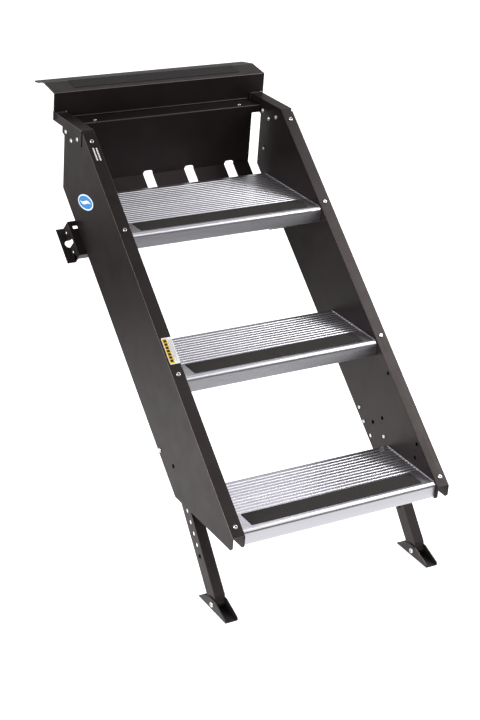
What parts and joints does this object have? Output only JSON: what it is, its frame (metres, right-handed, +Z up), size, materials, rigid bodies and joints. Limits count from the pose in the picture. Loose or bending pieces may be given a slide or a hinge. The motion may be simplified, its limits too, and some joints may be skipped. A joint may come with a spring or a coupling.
{
  "type": "fold-up doorway entry step",
  "caption": "Fold-up doorway entry step: fluted aluminium treads between dark sheet-metal channels, hinged at a sill bracket, with telescoping legs and tilting feet.",
  "frame": {"origin": "middle of the sill bracket's underside, which is screwed down on the door sill", "axes": "+X towards the right-hand stringer, +Y into the vehicle, +Z up"},
  "size_m": [0.6056, 1.0107, 0.9087],
  "materials": {
    "black_paint": "satin",
    "leg_paint": "satin",
    "foot_paint": "satin",
    "tread_aluminium": "satin",
    "grip_tape": "matte",
    "zinc_steel": "satin",
    "black_nylon": "matte"
  },
  "bodies": {
    "sill": {"sill_bracket": "black_paint", "sill_screw_1": "zinc_steel", "sill_screw_2": "zinc_steel", "sill_screw_3": "zinc_steel", "sill_screw_4": "zinc_steel", "hinge_rod": "zinc_steel", "hinge_rod_clip": "zinc_steel"},
    "stair": {"threshold_plate": "black_paint", "threshold_grip": "grip_tape", "hinge_leaf": "black_paint", "hinge_bush_left": "black_nylon", "hinge_bush_right": "black_nylon", "cross_rail": "black_paint", "kick_panel": "black_paint", "tread_1": "tread_aluminium", "grip_strip_1": "grip_tape", "tread_bracket_1_left": "black_paint", "tread_bracket_1_right": "black_paint", "tread_2": "tread_aluminium", "grip_strip_2": "grip_tape", "tread_bracket_2_left": "black_paint", "tread_bracket_2_right": "black_paint", "tread_3": "tread_aluminium", "grip_strip_3": "grip_tape", "tread_bracket_3_left": "black_paint", "tread_bracket_3_right": "black_paint", "stringer_left": "black_paint", "arm_stiffener_left": "black_paint", "panel_screw_left": "zinc_steel", "leg_guide_rear_left": "black_nylon", "leg_guide_front_left": "black_nylon", "arm_bolt_left_1": "zinc_steel", "arm_bolt_left_2": "zinc_steel", "arm_bolt_left_3": "zinc_steel", "flange_screw_left_1": "zinc_steel", "flange_screw_left_2": "zinc_steel", "flange_screw_left_3": "zinc_steel", "flange_screw_left_4": "zinc_steel", "stringer_right": "black_paint", "arm_stiffener_right": "black_paint", "panel_screw_right": "zinc_steel", "leg_guide_rear_right": "black_nylon", "leg_guide_front_right": "black_nylon", "arm_bolt_right_1": "zinc_steel", "arm_bolt_right_2": "zinc_steel", "arm_bolt_right_3": "zinc_steel", "flange_screw_right_1": "zinc_steel", "flange_screw_right_2": "zinc_steel", "flange_screw_right_3": "zinc_steel", "flange_screw_right_4": "zinc_steel", "latch_bracket": "black_paint"},
    "leg_left": {"leg_left": "leg_paint", "foot_bolt_left": "zinc_steel"},
    "foot_left": {"foot_left": "foot_paint"},
    "lock_pin_left": {"leg_lock_pin_left": "black_nylon"},
    "leg_right": {"leg_right": "leg_paint", "foot_bolt_right": "zinc_steel"},
    "foot_right": {"foot_right": "foot_paint"},
    "lock_pin_right": {"leg_lock_pin_right": "black_nylon"}
  },
  "joints": [
    {"name": "stair_fold", "type": "hinge", "parent": "sill", "child": "stair", "pos_m": [0, 0.041, 0.057], "axis": [-1, 0, 0], "range_deg": [0, 130]},
    {"name": "leg_left_slide", "type": "slide", "parent": "stair", "child": "leg_left", "axis": [0, -0.6494, -0.7604], "range_m": [-0.127, 0.0762]},
    {"name": "foot_left_tilt", "type": "hinge", "parent": "leg_left", "child": "foot_left", "pos_m": [-0.2636, -0.9026, -0.8174], "axis": [1, 0, 0], "range_deg": [-25, 25]},
    {"name": "lock_pin_left_slide", "type": "slide", "parent": "stair", "child": "lock_pin_left", "axis": [-1, 0, 0], "range_m": [0, 0.005]},
    {"name": "leg_right_slide", "type": "slide", "parent": "stair", "child": "leg_right", "axis": [0, -0.6494, -0.7604], "range_m": [-0.127, 0.0762]},
    {"name": "foot_right_tilt", "type": "hinge", "parent": "leg_right", "child": "foot_right", "pos_m": [0.2636, -0.9026, -0.8174], "axis": [1, 0, 0], "range_deg": [-25, 25]},
    {"name": "lock_pin_right_slide", "type": "slide", "parent": "stair", "child": "lock_pin_right", "axis": [-1, 0, 0], "range_m": [0, 0.005]}
  ]
}
